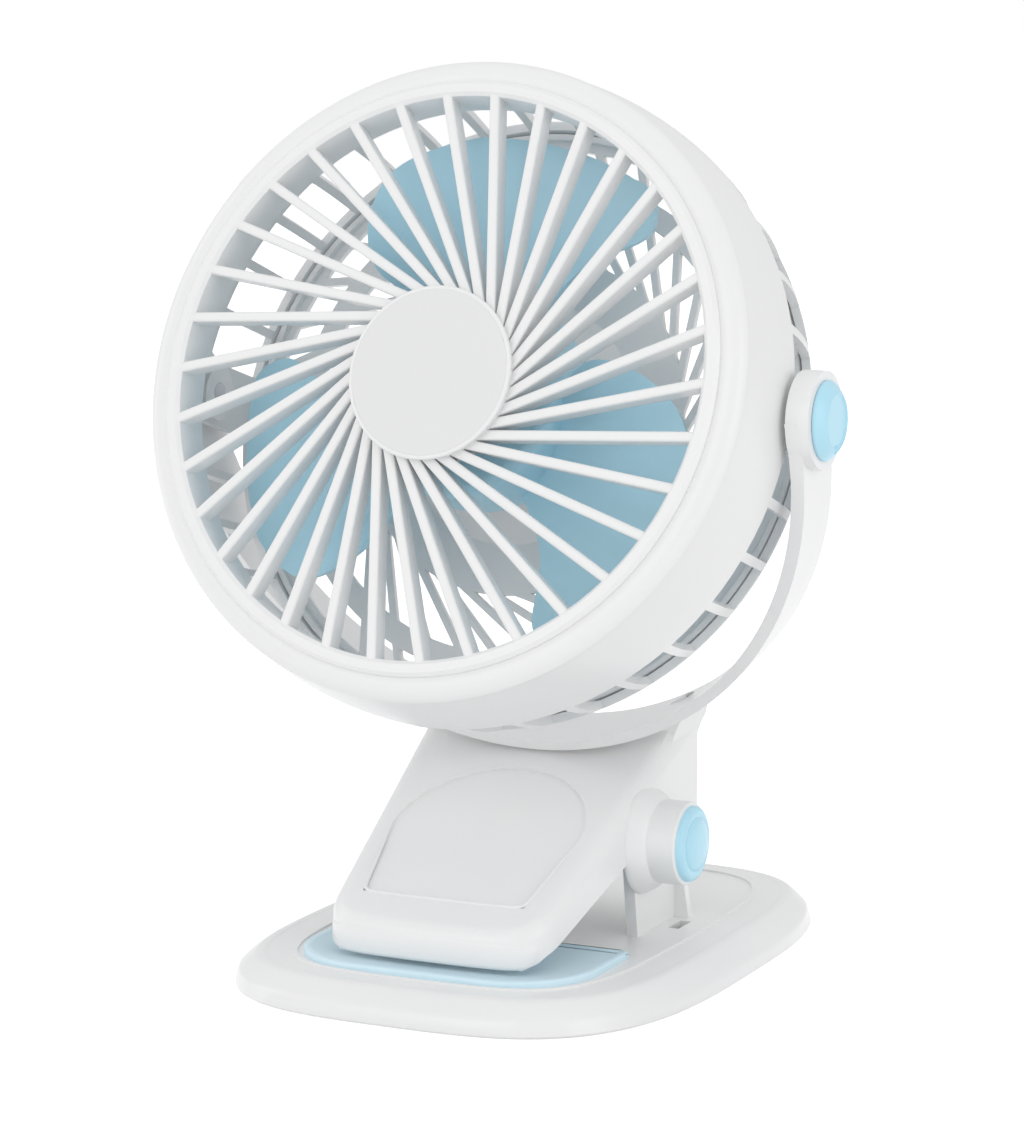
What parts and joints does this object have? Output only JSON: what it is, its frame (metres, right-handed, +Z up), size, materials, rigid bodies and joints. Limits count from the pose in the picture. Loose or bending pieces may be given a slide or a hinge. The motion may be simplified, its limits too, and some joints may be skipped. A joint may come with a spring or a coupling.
{
  "type": "clip fan",
  "caption": "Small desk and clip fan: a round caged head tilts in a U-shaped yoke on a sprung clip, with a flat base plate as its lower jaw.",
  "frame": {"origin": "bottom centre of the base plate, on the surface it stands on", "axes": "+Z up, -Y the way the clip opens and the head faces, +X towards the side that carries the hinge knob"},
  "size_m": [0.1638, 0.1498, 0.2033],
  "materials": {
    "white_gloss_abs": "satin gloss moulded ABS",
    "blue_gloss_abs": "gloss moulded ABS, light blue",
    "grey_satin_abs": "fine satin moulded ABS, pale grey",
    "blue_silicone": "matt silicone, light blue",
    "foot_rubber": "matt rubber",
    "bright_steel": "plain zinc-plated steel",
    "spring_steel": "drawn spring wire",
    "sintered_brass": "oiled sintered bush",
    "nylon": "natural nylon",
    "board_laminate": "glass-fibre laminate",
    "cell_film": "wrapped pouch cell"
  },
  "bodies": {
    "base": {"base_shell": "white_gloss_abs", "base_cover": "white_gloss_abs", "base_screws": "bright_steel", "base_feet": "foot_rubber", "base_pad": "blue_silicone", "hinge_pin": "bright_steel", "torsion_spring": "spring_steel"},
    "arm": {"arm_frame": "white_gloss_abs", "neck_cover": "white_gloss_abs", "neck_screws": "bright_steel", "jaw_cover": "white_gloss_abs", "jaw_screws": "bright_steel", "jaw_pad": "blue_silicone", "battery_cell": "cell_film", "control_board": "board_laminate", "usb_socket": "bright_steel", "hinge_ring": "white_gloss_abs", "hinge_cap": "blue_gloss_abs", "pivot_cap_left": "blue_gloss_abs", "pivot_cap_right": "blue_gloss_abs"},
    "head": {"front_grille": "white_gloss_abs", "hub_cap": "grey_satin_abs", "drum_shell": "white_gloss_abs", "rear_grille": "white_gloss_abs", "rear_cap": "white_gloss_abs", "motor_can": "bright_steel", "motor_bush": "sintered_brass", "motor_screws": "bright_steel", "pivot_pin_left": "bright_steel", "pivot_pin_right": "bright_steel", "pivot_washer_left": "nylon", "pivot_washer_right": "nylon"},
    "rotor_body": {"rotor": "blue_gloss_abs", "motor_shaft": "bright_steel"},
    "button": {"power_button": "blue_gloss_abs"}
  },
  "joints": [
    {"name": "clip_hinge", "type": "hinge", "parent": "base", "child": "arm", "pos_m": [0, -0.0027, 0.0291], "axis": [-1, 0, 0], "range_deg": [0, 30], "stiffness_Nm_per_rad": 0.9, "springref_deg": -40.11, "deforming": ["torsion_spring"]},
    {"name": "head_tilt", "type": "hinge", "parent": "arm", "child": "head", "pos_m": [0, -0.0231, 0.1282], "axis": [1, 0, 0], "range_deg": [-70, 100]},
    {"name": "rotor_spin", "type": "hinge", "parent": "head", "child": "rotor_body", "pos_m": [0, -0.0231, 0.1282], "axis": [0, -0.9494, 0.314], "continuous": true},
    {"name": "button_press", "type": "slide", "parent": "arm", "child": "button", "axis": [0, -1, 0], "range_m": [0, 0.0008], "stiffness_N_per_m": 1500, "springref_m": -0.001}
  ]
}
